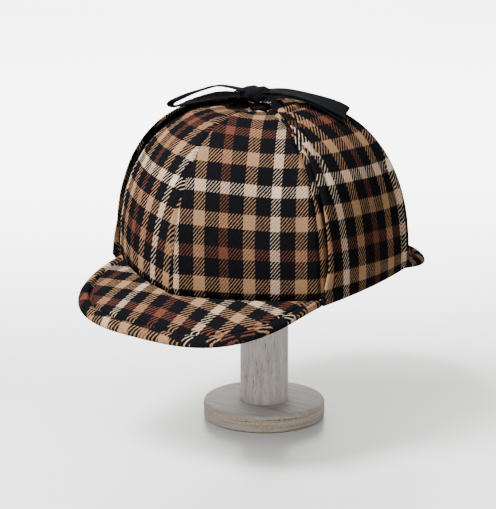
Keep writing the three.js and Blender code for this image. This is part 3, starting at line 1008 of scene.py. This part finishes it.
@dataclass
class Stand:
    """Turned wooden stand: a round disc and the post that the crown rests on."""

    edge_round: float = 1.8
    head_round: float = 4.0
    sharp_angle: float = 50
    sides: int = 128
    round_steps: int = 6

    def turned(self, name: str, profile: list[tuple[float, float]]) -> Piece:
        """Turn half an outline about the upright axis.

        Args:
            name: Name of the piece.
            profile: Radius and height of each point, in metres, from axis to axis.

        Returns:
            The new piece.
        """
        points = [(0, 0, profile[0][1]), (0, 0, profile[-1][1])]
        rings = profile[1:-1]
        for radius, height in rings:
            for side in range(self.sides):
                angle = 2 * math.pi * side / self.sides
                points.append((radius * math.cos(angle), radius * math.sin(angle), height))
        faces = []
        for side in range(self.sides):
            after = (side + 1) % self.sides
            first, last = 2, 2 + (len(rings) - 1) * self.sides
            faces.append((0, first + after, first + side))
            faces.append((1, last + side, last + after))
            for ring in range(len(rings) - 1):
                low, high = 2 + ring * self.sides, 2 + (ring + 1) * self.sides
                faces.append((low + side, low + after, high + after, high + side))
        piece = mesh_object(name, np.array(points), faces)
        piece.data.set_sharp_from_angle(angle=math.radians(self.sharp_angle))
        return piece

    def quarter(self, radius: float, height: float, size: float, start: float) -> list[tuple[float, float]]:
        """Return a quarter round about a centre, by its size and its start angle in degrees."""
        angles = [math.radians(start + 90 * i / self.round_steps) for i in range(self.round_steps + 1)]
        return [(radius + size * math.cos(a), height + size * math.sin(a)) for a in angles]

    def build(self, wood: WhitewashedWood) -> None:
        """Turn and dress both pieces, at the sizes of the frame's solids.

        Args:
            wood: Their finish.
        """
        grain = wood.grain_group()
        low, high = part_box("stand_base")
        size = self.edge_round * MM
        flat = high.x - size
        outline = [(0, low.z), *self.quarter(flat, low.z + size, size, -90)]
        outline += [*self.quarter(flat, high.z - size, size, 0), (0, high.z)]
        dress(self.turned("washed_disc", outline), wood.make_base(grain, high.z), Slot.WOOD, "stand_base")
        _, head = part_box("stand_post")
        size = self.head_round * MM
        outline = [(0, high.z), (head.x, high.z)]
        outline += [*self.quarter(head.x - size, head.z - size, size, 0), (0, head.z)]
        dress(self.turned("washed_column", outline), wood.make_post(grain), Slot.WOOD, "stand_post")


@dataclass(frozen=True)
class PanelCloth:
    """How the plaid lies on one crown panel, and which of its ends lies over a peak's end."""

    node: str
    # Distance of a white column from the panel's middle line, in millimetres
    white_column: float
    # How far the columns lean over, as a share of the height
    column_lean: float = 0
    # How far the rows rise away from the white column, as a share of the distance
    row_lean: float = 0
    # How much closer the columns lie than on a flat cloth
    column_share: float = 1
    coarseness: float = 1
    # 0 for the panel's start and 1 for its end
    peak_end: int | None = None


@dataclass
class Crown:
    """The six panels of the crown."""

    columns: int = 56
    rows: int = 84
    row_crowding: float = 1.15
    seam_dip: float = 1.3
    seam_softness: float = 1.5
    seam_swell: float = 0.45
    swell_place: float = 4.0
    swell_width: float = 3.0
    # Small puckers that the seam's stitches make
    pucker: float = 0.25
    pucker_reach: float = 9.0
    pucker_pitch: float = 2.9
    slack: float = 0.45
    slack_fade: float = 12.0
    slack_step: float = 1.3
    white_row: float = 70.3
    waver: float = 0.45
    # How far the rim hangs over the peaks, and how much further over their ends
    rim_drop: float = 0.7
    rim_reach: float = 3.0
    corner_drop: float = 0.9
    corner_reach: float = 11.0
    panels: tuple[PanelCloth, ...] = (
        PanelCloth("crown_front_left", 18.8, peak_end=1),
        PanelCloth("crown_side_left", 36.0),
        PanelCloth("crown_back_left", 22.0, peak_end=0),
        PanelCloth("crown_back_right", 22.0, peak_end=1),
        PanelCloth("crown_side_right", 36.0),
        PanelCloth("crown_front_right", 22.0, 0.12, 0.056, 0.94, 1.45, peak_end=0),
    )

    def panel(self, number: int) -> Sheet:
        """Make one panel, pulled in along its seams.

        Args:
            number: Panel, counted from the front seam towards the wearer's left.

        Returns:
            The panel's sheet.
        """
        plaid = self.panels[number]
        levels = crowded_end(self.rows, self.row_crowding) * CROWN.top_level
        turn, level = np.meshgrid(number + eased(self.columns), levels)
        width = CROWN.panel_width(number) * CROWN.ring_share(level)
        share = turn - number
        from_seam = np.minimum(share, 1 - share) * width
        up = np.broadcast_to(CROWN.height_up(number + 0.5, levels)[:, None], turn.shape)
        across = CROWN.across_from(number + 0.5, turn, level)
        lift = -self.seam_dip * hill(from_seam, self.seam_softness)
        lift = lift + self.seam_swell * hill(from_seam - self.swell_place, self.swell_width)
        pucker = np.sin(up / self.pucker_pitch + number)
        lift = lift + self.pucker * hill(from_seam, self.pucker_reach) * pucker
        slack = self.slack * ripple(up, across, self.slack_step * number)
        lift = lift + slack * np.minimum(from_seam / self.slack_fade, 1)
        faces = [CROWN.cloth(turn, level, lift), CROWN.cloth(turn, level, lift - CROWN.wall)]
        if plaid.peak_end is not None:
            over_end = hill(np.abs(share - plaid.peak_end) * width, self.corner_reach)
            drop = (self.rim_drop + self.corner_drop * over_end) * hill(up, self.rim_reach)
            for face in faces:
                face[..., 2] -= drop
        from_white = across - plaid.white_column
        column = plaid.white_column + from_white * plaid.column_share - plaid.column_lean * up
        column = column + self.waver * ripple(up, across, number + 2)
        row = up + plaid.row_lean * from_white + self.waver * ripple(across, up, number + 5)
        sheet = Sheet(*faces, np.stack([column, row], -1))
        sheet.round_edges(up + OPEN_EDGE, CROWN.wall / 2)
        return sheet

    def declare_cut(self, number: int) -> None:
        """Measure the length up one panel's middle at each height; nothing is kept of it.

        Args:
            number: Panel, counted as for its sheet.
        """
        levels = np.linspace(0, 1, 101) * CROWN.top_level
        lengths = CROWN.height_up(number + 0.5, levels) * MM

    def build(self, wool: Wool) -> None:
        """Sew and dress the panels.

        Args:
            wool: The wool that dresses them.
        """
        for number, plaid in enumerate(self.panels):
            piece = self.panel(number).build(f"{plaid.node}_cloth", HAT.matrix())
            wool.dress(piece, plaid.node, plaid.white_column, self.white_row, plaid.coarseness)
            self.declare_cut(number)


@dataclass
class Button:
    """Covered button where the panels meet, with gathers round its edge."""

    columns: int = 64
    rings: int = 18
    # How much of the frame's solid it takes up, and how much of its height the dome does
    fit: float = 0.985
    dome: float = 0.72
    gathers: int = 11
    gather_depth: float = 0.035
    # The plaid is drawn larger and set so that the button shows one black square: painted shade under the
    # knot
    weave_share: float = 0.5
    white_column: float = 24.3
    white_row: float = 30.45

    def sheet(self) -> Sheet:
        """Make the button as a domed sheet in the place of the frame's solid.

        Returns:
            The button's sheet.
        """
        low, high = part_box("crown_button")
        middle = HAT.matrix().inverted() @ ((low + high) / 2 / MM)
        radius = (high.x - low.x) / 2 / MM
        rise = (high.z - low.z) / MM
        reaches = np.concatenate([[0.02], np.linspace(0.1, 1, self.rings)])
        angle, reach = np.meshgrid(np.linspace(0, 2 * np.pi, self.columns + 1), reaches)
        gather = 1 + self.gather_depth * np.sin(self.gathers * angle) * reach**4
        out = radius * reach * gather * self.fit
        plan = [middle.x + out * np.cos(angle), middle.y + out * np.sin(angle)]
        fall = 1 - np.sqrt(1 - np.minimum(reach, 0.995) ** 2)
        top = middle.z + rise / 2 - rise * self.dome * fall
        under = np.full_like(top, middle.z - rise / 2)
        cloth = np.stack(plan, -1) * self.weave_share
        return Sheet(np.stack([*plan, top], -1), np.stack([*plan, under], -1), cloth)

    def build(self, wool: Wool) -> None:
        """Make and dress the button.

        Args:
            wool: The wool that dresses it.
        """
        piece = self.sheet().build("covered_button", HAT.matrix())
        wool.dress(piece, "crown_button", self.white_column, self.white_row)


@dataclass
class EarFlap:
    """Padded ear flap folded up over a side panel, with its hem turned in under the rim."""

    thickness: float = 4.5
    gap: float = 0.4
    edge_standoff: float = 1.0
    edge_reach: float = 7.0
    # Height below which the side edges' inside lies flat on the rim
    rim_reach: float = 8.0
    hem_drop: float = 3.8
    # Powers that make the hem's turn squarer than a quarter round, outwards and downwards
    hem_outwards: float = 0.8
    hem_downwards: float = 0.6
    stitch_inset: float = 7.5
    stitch_depth: float = 1.4
    lip: float = 0.5
    lip_width: float = 2.2
    coarseness: float = 1.05
    columns: int = 64
    rows: int = 96
    row_crowding: float = 1.5
    hem_rows: int = 12
    slack: float = 0.5
    slack_fade: float = 10.0
    # Level, front edge, back edge, share of the thickness, stand-off as a share of it
    outline: Rows = (
        (0, -0.012, 0.965, 1, 0),
        (0.03, 0.006, 0.965, 1, 0),
        (0.09, 0.048, 0.967, 1, 0),
        (0.3, 0.05, 0.975, 1, 0),
        (0.55, 0.02, 1, 0.95, 0),
        (0.7, -0.01, 1.03, 0.7, 0),
        (0.84, -0.02, 1.02, 0.5, 0),
        (0.875, 0.06, 0.94, 0.45, 0.08),
        (0.895, 0.2, 0.8, 0.4, 0.15),
    )
    white_column: float = 37.0
    white_row: float = 71.8
    row_lean: float = 0.095
    lean_pivot: float = 28.8
    # Height over which the lean and the waver set in
    lean_start: float = 4.0
    waver: float = 0.45
    # Distance from the white stripes to the middle of a black square, which the inside shows as painted shade
    # under the flap
    inside_shade_column: float = 8.1
    inside_shade_row: float = 10.15
    facing: float = 3.0
    # Node, seed of its slack, stand-off of the side edges' inside as a share of the thickness, side
    flaps: tuple[tuple[str, float, float, int], ...] = (
        ("ear_flap_left", 4.2, 0.3, 1),
        ("ear_flap_right", 7.9, 0.72, -1),
    )

    def sheet(self, seed: float, undercut: float, flip: int) -> Sheet:
        """Make the flap over one side panel.

        Args:
            seed: Number that sets this flap's slack apart.
            undercut: Share of the thickness by which the side edges' inside stands off.
            flip: 1 on the wearer's left, -1 on the right.

        Returns:
            The flap's sheet.
        """
        tip = self.outline[-1][0]
        levels = crowded_end(self.rows, self.row_crowding) * tip
        front = table_at(self.outline, 1, levels)[:, None]
        back = table_at(self.outline, 2, levels)[:, None]
        across_share = eased(self.columns)[None, :]
        turn = 1 + mix(front, back, across_share)
        level = np.broadcast_to(levels[:, None], turn.shape)
        heights = CROWN.height_up(1.5, levels)
        up = np.broadcast_to(heights[:, None], turn.shape)
        across = CROWN.across_from(1.5, turn, level)
        width = CROWN.panel_width(1) * CROWN.ring_share(level) * (back - front)
        from_side = np.minimum(across_share, 1 - across_share) * width
        from_edge = np.minimum(from_side, heights[-1] - up)
        thick = table_at(self.outline, 3, levels)[:, None] * self.thickness
        stand = table_at(self.outline, 4, levels)[:, None] * self.thickness
        stand = self.gap + stand + self.edge_standoff * hill(from_edge, self.edge_reach)
        puff = self.slack * ripple(up, across, seed) * np.minimum(from_edge / self.slack_fade, 1)
        groove, lip = stitched(from_edge, self.stitch_inset, self.lip_width)
        relief = puff + self.lip * lip - self.stitch_depth * groove
        hollow = undercut * thick * hill(from_side, self.edge_reach) * (1 - hill(up, self.rim_reach))
        faces = (CROWN.cloth(turn, level, stand + thick + relief), CROWN.cloth(turn, level, stand + hollow))
        above_hem = 1 - hill(up, self.lean_start)
        row = up + self.row_lean * (across + self.lean_pivot) * above_hem
        row = row + self.waver * ripple(across, up, seed + 1) * above_hem
        column = across + self.waver * ripple(up, across, seed + 2) * above_hem
        rows = (*faces, np.stack([column, row], -1))
        hem = self.hem(turn[0], across[0])
        sheet = Sheet(*(np.concatenate(pair) for pair in zip(hem, rows)))
        hem_side = np.tile(from_side[0], (self.hem_rows, 1))
        sheet.round_edges(np.concatenate([hem_side, from_edge]) + OPEN_EDGE, self.thickness / 2)
        sheet.mirror(flip)
        sheet.cloth[..., 0] *= flip
        # Painted shade: away from its side edges the flap's inside shows one plain black square, standing in
        # for the shade between flap and crown
        dark = np.array([self.white_column * flip + self.inside_shade_column, self.white_row + self.inside_shade_row])
        near_side = np.concatenate([hem_side, from_side])[..., None] < self.facing
        sheet.inside_cloth = np.where(near_side, sheet.cloth, dark)
        return sheet

    def hem(self, turn: np.ndarray, across: np.ndarray) -> tuple[np.ndarray, ...]:
        """Make the rows that turn in under the rim, from the inside outwards.

        Args:
            turn: Turn of each column at the rim.
            across: Distance of each column from the middle line.

        Returns:
            The outside face, the inside face and the cloth map.
        """
        inside, outside = -CROWN.wall, self.gap + self.thickness
        outer, inner, cloth = [], [], []
        for step in range(self.hem_rows):
            share = step / self.hem_rows
            angle = share * math.pi / 2
            reach = math.sin(angle) ** self.hem_outwards
            drop = math.cos(angle) ** self.hem_downwards
            for rows, lift, height in (
                (outer, mix(inside, outside, reach), -drop * self.hem_drop),
                (inner, mix(inside, self.gap, reach), -self.gap * min(drop * 2, 1)),
            ):
                points = CROWN.cloth(turn, 0.0, lift)
                points[..., 2] = height
                rows.append(points)
            run = (1 - share) * (outside - inside)
            cloth.append(np.stack([across, np.full_like(across, -run)], -1))
        return np.array(outer), np.array(inner), np.array(cloth)

    def build(self, wool: Wool) -> None:
        """Make and dress the flap of each side.

        Args:
            wool: The wool that dresses them.
        """
        for node, seed, undercut, flip in self.flaps:
            piece = self.sheet(seed, undercut, flip).build(f"{node}_padded", HAT.matrix())
            wool.dress(piece, node, self.white_column * flip, self.white_row, self.coarseness)


@dataclass
class Peak:
    """A stiffened peak with a stitched lip, sewn in under the crown's rim."""

    node: str
    first_turn: float
    last_turn: float
    reach: float
    droop: float
    squareness: float
    white_row: float
    white_column: float = 35.7
    # How strongly the outline's points crowd towards the peak's ends, and its rows towards the edge
    end_crowding: float = 1.35
    edge_crowding: float = 2.2
    # Powers of the droop's fall towards the ends and of its rise outwards
    end_droop: float = 0.9
    out_droop: float = 1.2
    thickness: float = 4.2
    gap: float = 0.35
    columns: int = 120
    stations: int = 72
    stitch_inset: float = 8.0
    stitch_depth: float = 2.6
    # Share of the groove that shows on the underside
    under_groove: float = 0.15
    lip: float = 1.2
    lip_width: float = 2.4
    lip_limit: float = 1.1
    # Radius of the edge where the peak has no width, and how it grows with the width
    end_round: float = 0.15
    end_growth: float = 0.12
    coarseness: float = 1.3
    cloth_length: float = 1.06
    row_lean: float = 0.055

    def face(self, across: np.ndarray, out: np.ndarray) -> tuple[np.ndarray, np.ndarray, np.ndarray]:
        """Find the peak's top face and how far each point is from its edge.

        Args:
            across: Share of the way from one end to the other.
            out: Share of the way out from the tucked margin.

        Returns:
            Points of the top face, their distances from the edge, and the peak's width at each.
        """
        corner = CROWN.seam(int(self.last_turn))
        margin = CROWN.cloth(mix(self.first_turn, self.last_turn, across), 0.0, -CROWN.wall)
        sweep = 2 * across - 1
        angle = np.sign(sweep) * (1 - (1 - np.abs(sweep)) ** self.end_crowding) * np.pi / 2
        ahead = np.maximum(np.cos(angle), 0)
        power = 2 / self.squareness
        side, fore = blunted(np.sin(angle), power), ahead**power
        rim_x = corner[0] * side
        rim_y = corner[1] + np.sign(corner[1]) * self.reach * fore
        x = mix(margin[..., 0], rim_x, out)
        y = mix(margin[..., 1], rim_y, out)
        away = np.hypot(rim_x - margin[..., 0], rim_y - margin[..., 1])
        beyond = np.clip((out * away - CROWN.wall) / np.maximum(away - CROWN.wall, 0.01), 0, 1)
        slope = self.droop * ahead**self.end_droop * beyond**self.out_droop
        return np.stack([x, y, -self.gap - slope], -1), (1 - out) * away, away

    def sheet(self) -> Sheet:
        """Make the peak's sheet, with its groove and rounded edge.

        Returns:
            The sheet.
        """
        outwards = crowded_end(self.stations, self.edge_crowding)
        across, out = np.meshgrid(np.linspace(0, 1, self.columns + 1), outwards)
        top, from_edge, width = self.face(across, out)
        groove, lip = stitched(from_edge, self.stitch_inset, self.lip_width)
        groove = self.stitch_depth * groove
        outer, inner = top.copy(), top.copy()
        outer[..., 2] += np.minimum(self.lip * lip - groove, self.lip_limit)
        inner[..., 2] += groove * self.under_groove - self.thickness
        row = self.cloth_length * top[..., 1] + self.row_lean * top[..., 0]
        sheet = Sheet(outer, inner, np.stack([top[..., 0], row], -1))
        radius = np.minimum(self.thickness / 2, self.end_round + self.end_growth * width)
        sheet.round_edges(from_edge + OPEN_EDGE, radius)
        return sheet

    def build(self, wool: Wool) -> None:
        """Make and dress the peak.

        Args:
            wool: The wool that dresses it.
        """
        piece = self.sheet().build(f"{self.node}_cloth", HAT.matrix())
        wool.dress(piece, self.node, self.white_column, self.white_row, self.coarseness)


@dataclass
class Bow:
    """Ribbon bow over the button: two loops, a knot and a tie to each flap's tip."""

    width: float = 16.0
    thickness: float = 0.9
    gap: float = 0.35
    loop_reach: float = 61.0
    loop_rise: float = 10.0
    tie_rise: float = 0.72
    turn: float = 24.0
    shift: float = 3.4
    knot_length: float = 18.0
    knot_depth: float = 13.0
    knot_height: float = 10.6
    # Height of the knot over the underside of the frame's solid
    knot_lift: float = 0.3
    knot_stations: int = 40
    knot_sides: int = 72
    knot_squareness: float = 0.8
    knot_wall: float = 0.25
    deep_fold: float = 0.05
    fine_fold: float = 0.04
    # Where each loop is pinched by the knot, as a share of its reach, over what distance, and how much
    pinch_place: float = 0.155
    pinch_width: float = 12.0
    pinch: float = 0.24
    # How far the ribbon's edges curl off its middle, where the curl is level, and its small waves
    loop_cup: float = 0.5
    tie_cup: float = 0.3
    cup_level: float = 0.35
    edge_wave: float = 0.5
    edge_wave_pitch: float = 6.0
    open_edge: float = 0.01
    tie_steps: int = 30
    stations: int = 150
    strands: int = 16
    # Share of the reach, share of the rise, degrees by which the rear edge is above the front one
    right_loop: Rows = (
        (0.1, 1.25, -4),
        (0.33, 1.46, -10),
        (0.46, 1.38, -13),
        (0.58, 1.14, -14),
        (0.72, 0.82, -14),
        (0.83, 0.5, -14),
        (0.91, 0.24, -14),
        (0.94, 0.03, -14),
        (0.915, -0.1, -12),
        (0.85, -0.04, -5),
        (0.78, 0.12, 0),
        (0.67, 0.34, 3),
        (0.55, 0.55, 4),
        (0.45, 0.7, 5),
        (0.32, 0.82, 6),
        (0.1, 0.9, 5),
    )
    left_loop: Rows = (
        (0.1, 1.2, -2),
        (0.25, 1.27, -2),
        (0.405, 1.18, 0),
        (0.58, 0.97, 3),
        (0.76, 0.65, 7),
        (0.88, 0.37, 11),
        (0.96, 0.14, 13),
        (0.985, 0, 13),
        (0.955, -0.08, 12),
        (0.87, 0.14, 8),
        (0.76, 0.46, 2),
        (0.577, 0.8, -3),
        (0.4, 0.97, -6),
        (0.25, 1.04, -6),
        (0.1, 1, -5),
    )
    # Share of the tip's distance from the button, share of the rise, share of the width
    tie: Rows = (
        (0.9, 0.06, 0.94),
        (0.8, 0.26, 0.9),
        (0.7, 0.6, 0.8),
        (0.6, 0.95, 0.7),
    )
    # Share of half the knot's length, underside, top, share of its depth
    knot: Rows = (
        (-1, 0.42, 0.84, 0.72),
        (-0.6, 0.2, 0.97, 0.92),
        (-0.2, 0.02, 1, 1),
        (0.25, 0, 1, 1),
        (0.65, 0.16, 0.98, 0.92),
        (1, 0.42, 0.86, 0.7),
    )

    @staticmethod
    def curve(points: np.ndarray, count: int) -> np.ndarray:
        """Draw a smooth line through points.

        Args:
            points: Points to pass through, one a row.
            count: How many steps the line has.

        Returns:
            The line's points.
        """
        ends = np.vstack([2 * points[0] - points[1], points, 2 * points[-1] - points[-2]])
        line = []
        for at in np.linspace(0, len(points) - 1, count + 1):
            row = min(int(at), len(points) - 2)
            t = at - row
            a, b, c, d = ends[row : row + 4]
            bend = 2 * a - 5 * b + 4 * c - d
            twist = 3 * b - a - 3 * c + d
            line.append((2 * b + (c - a) * t + bend * t**2 + twist * t**3) / 2)
        return np.array(line)

    def strip(self, line: np.ndarray, across: np.ndarray, width: np.ndarray, cup: float) -> Sheet:
        """Make a flat ribbon along a line.

        Args:
            line: Middle of the ribbon.
            across: Direction across it at each point.
            width: Its width at each point.
            cup: How far its edges curl off the middle.

        Returns:
            The ribbon's sheet.
        """
        tangent = np.gradient(line, axis=0)
        normal = np.cross(tangent, across)
        normal /= np.linalg.norm(normal, axis=1)[:, None]
        run = np.concatenate([[0], np.cumsum(np.linalg.norm(np.diff(line, axis=0), axis=1))])
        place = (eased(self.strands) - 0.5)[None, :, None]
        spread = across[:, None, :] * width[:, None, None] * place
        wave = self.edge_wave * np.sin(run / self.edge_wave_pitch)[:, None, None] * place
        curl = normal[:, None, :] * (cup * (4 * place**2 - self.cup_level) + wave)
        middle = line[:, None, :] + spread + curl
        half = normal[:, None, :] * self.thickness / 2
        cloth = np.broadcast_arrays(width[:, None] * place[..., 0], run[:, None])
        sheet = Sheet(middle + half, middle - half, np.stack(cloth, -1))
        edge = (0.5 - np.abs(place[..., 0])) * width[:, None]
        sheet.round_edges(edge + self.open_edge, self.thickness / 2)
        return sheet

    def loop(self, rows: Rows, side: int) -> Sheet:
        """Make one loop.

        Args:
            rows: The loop's table.
            side: 1 for the loop towards the bow's +X, -1 for the other.

        Returns:
            The loop's sheet, in the bow's frame.
        """
        table = np.array(rows)
        reach, height = side * table[:, 0] * self.loop_reach, table[:, 1] * self.loop_rise
        line = self.curve(np.stack([reach, 0 * reach, height], -1), self.stations)
        at = np.linspace(0, len(rows) - 1, self.stations + 1)
        tilt = np.radians(np.interp(at, range(len(rows)), table[:, 2]))
        across = np.stack([0 * tilt, np.cos(tilt), np.sin(tilt)], -1)
        near_knot = hill(np.abs(line[:, 0]) - self.pinch_place * self.loop_reach, self.pinch_width)
        return self.strip(line, across, self.width * (1 - self.pinch * near_knot), self.loop_cup)

    def knot_piece(self, underside: float) -> Sheet:
        """Make the knot: a band wrapped round the bow's middle, with folds.

        Args:
            underside: Height of its underside, in the bow's frame.

        Returns:
            The knot's sheet.
        """
        along = np.linspace(-1, 1, self.knot_stations + 1)[:, None]
        angle = np.linspace(0, 2 * np.pi, self.knot_sides + 1)[None, :]
        low, high, depth = (table_at(self.knot, column, along) for column in (1, 2, 3))
        fold = 1 + self.deep_fold * np.sin(3 * angle + 5 * along)
        fold = fold + self.fine_fold * np.cos(9 * along + angle)
        x = np.broadcast_to(along * self.knot_length / 2, fold.shape)
        y = blunted(np.cos(angle), self.knot_squareness) * depth * self.knot_depth / 2 * fold
        middle = underside + (low + high) / 2 * self.knot_height
        rise = (high - low) / 2 * self.knot_height * fold
        z = middle + blunted(np.sin(angle), self.knot_squareness) * rise
        outer = np.stack([x, y, z], -1)
        core = np.stack([x, 0 * y, np.broadcast_to(middle, y.shape)], -1)
        cloth = np.stack(np.broadcast_arrays(x, angle * self.knot_depth / 2), -1)
        return Sheet(outer, mix(outer, core, self.knot_wall), cloth)

    def tie_piece(self, flap: EarFlap, knot_side: float) -> Sheet:
        """Make the tie from the left flap's tip in to the knot.

        Args:
            flap: The flap whose tip it leaves.
            knot_side: Height of its end at the knot.

        Returns:
            The tie's sheet, in the hat's frame.
        """
        tip = CROWN.cloth(1.5, flap.outline[-1][0], self.gap + self.thickness / 2)
        points = np.array([(tip[0] * a, tip[1] * a, mix(tip[2], knot_side, r)) for a, r, _ in self.tie])
        line = self.curve(points, self.tie_steps)
        at = np.linspace(0, len(self.tie) - 1, len(line))
        width = np.interp(at, range(len(self.tie)), [row[2] * self.width for row in self.tie])
        across = np.tile([0.0, 1.0, 0.0], (len(line), 1))
        return self.strip(line, across, width, self.tie_cup)

    def build(self, finish: Material, flap: EarFlap) -> None:
        """Tie and dress the bow.

        Args:
            finish: The ribbon's material.
            flap: The flap whose tips the ties leave.
        """
        hat = HAT.matrix()
        seat = CROWN.height - CROWN.dent
        turn = Matrix.Rotation(math.radians(self.turn), 4, "Z")
        bow = hat @ Matrix.Translation((0, 0, seat)) @ turn @ Matrix.Translation((-self.shift, 0, 0))
        low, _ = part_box("bow_knot")
        underside = (bow.inverted() @ (Vector((0, 0, low.z)) / MM)).z + self.knot_lift
        loops = (("bow_loop_left", self.left_loop, 1), ("bow_loop_right", self.right_loop, -1))
        for node, rows, side in loops:
            sheet = self.loop(rows, side)
            piece = sheet.build(f"{node}_ribbon", bow)
            dress(piece, finish, Slot.RIBBON, node)
        dress(self.knot_piece(underside).build("bow_knot_ribbon", bow), finish, Slot.RIBBON, "bow_knot")
        for node, flip in (("ribbon_tie_left", 1), ("ribbon_tie_right", -1)):
            sheet = self.tie_piece(flap, seat + self.loop_rise * self.tie_rise)
            sheet.mirror(flip)
            dress(sheet.build(f"{node}_ribbon", hat), finish, Slot.RIBBON, node)


def corners(box: tuple[Vector, Vector]) -> list[list[float]]:
    """Return a box's two corners as plain lists."""
    return [list(corner) for corner in box]


def main() -> None:
    """Build the scene in order and report each piece."""
    logging.basicConfig(level=logging.INFO, format="%(message)s")
    studio = Studio()
    studio.set_camera()
    studio.lay_sweep()
    studio.hang_lights()
    wool = Wool(PlaidWool())
    Stand().build(WhitewashedWood())
    Crown().build(wool)
    Button().build(wool)
    flap = EarFlap()
    flap.build(wool)
    front_form = {"first_turn": -1, "last_turn": 1, "reach": 81, "droop": 15.9, "squareness": 2.85}
    back_form = {"first_turn": 2, "last_turn": 4, "reach": 82, "droop": 17.5, "squareness": 2}
    Peak("front_peak", **front_form, white_row=-74.3).build(wool)
    Peak("back_peak", **back_form, white_row=74.3).build(wool)
    Bow().build(RibbonFinish().make(), flap)


if __name__ == "__main__":
    main()
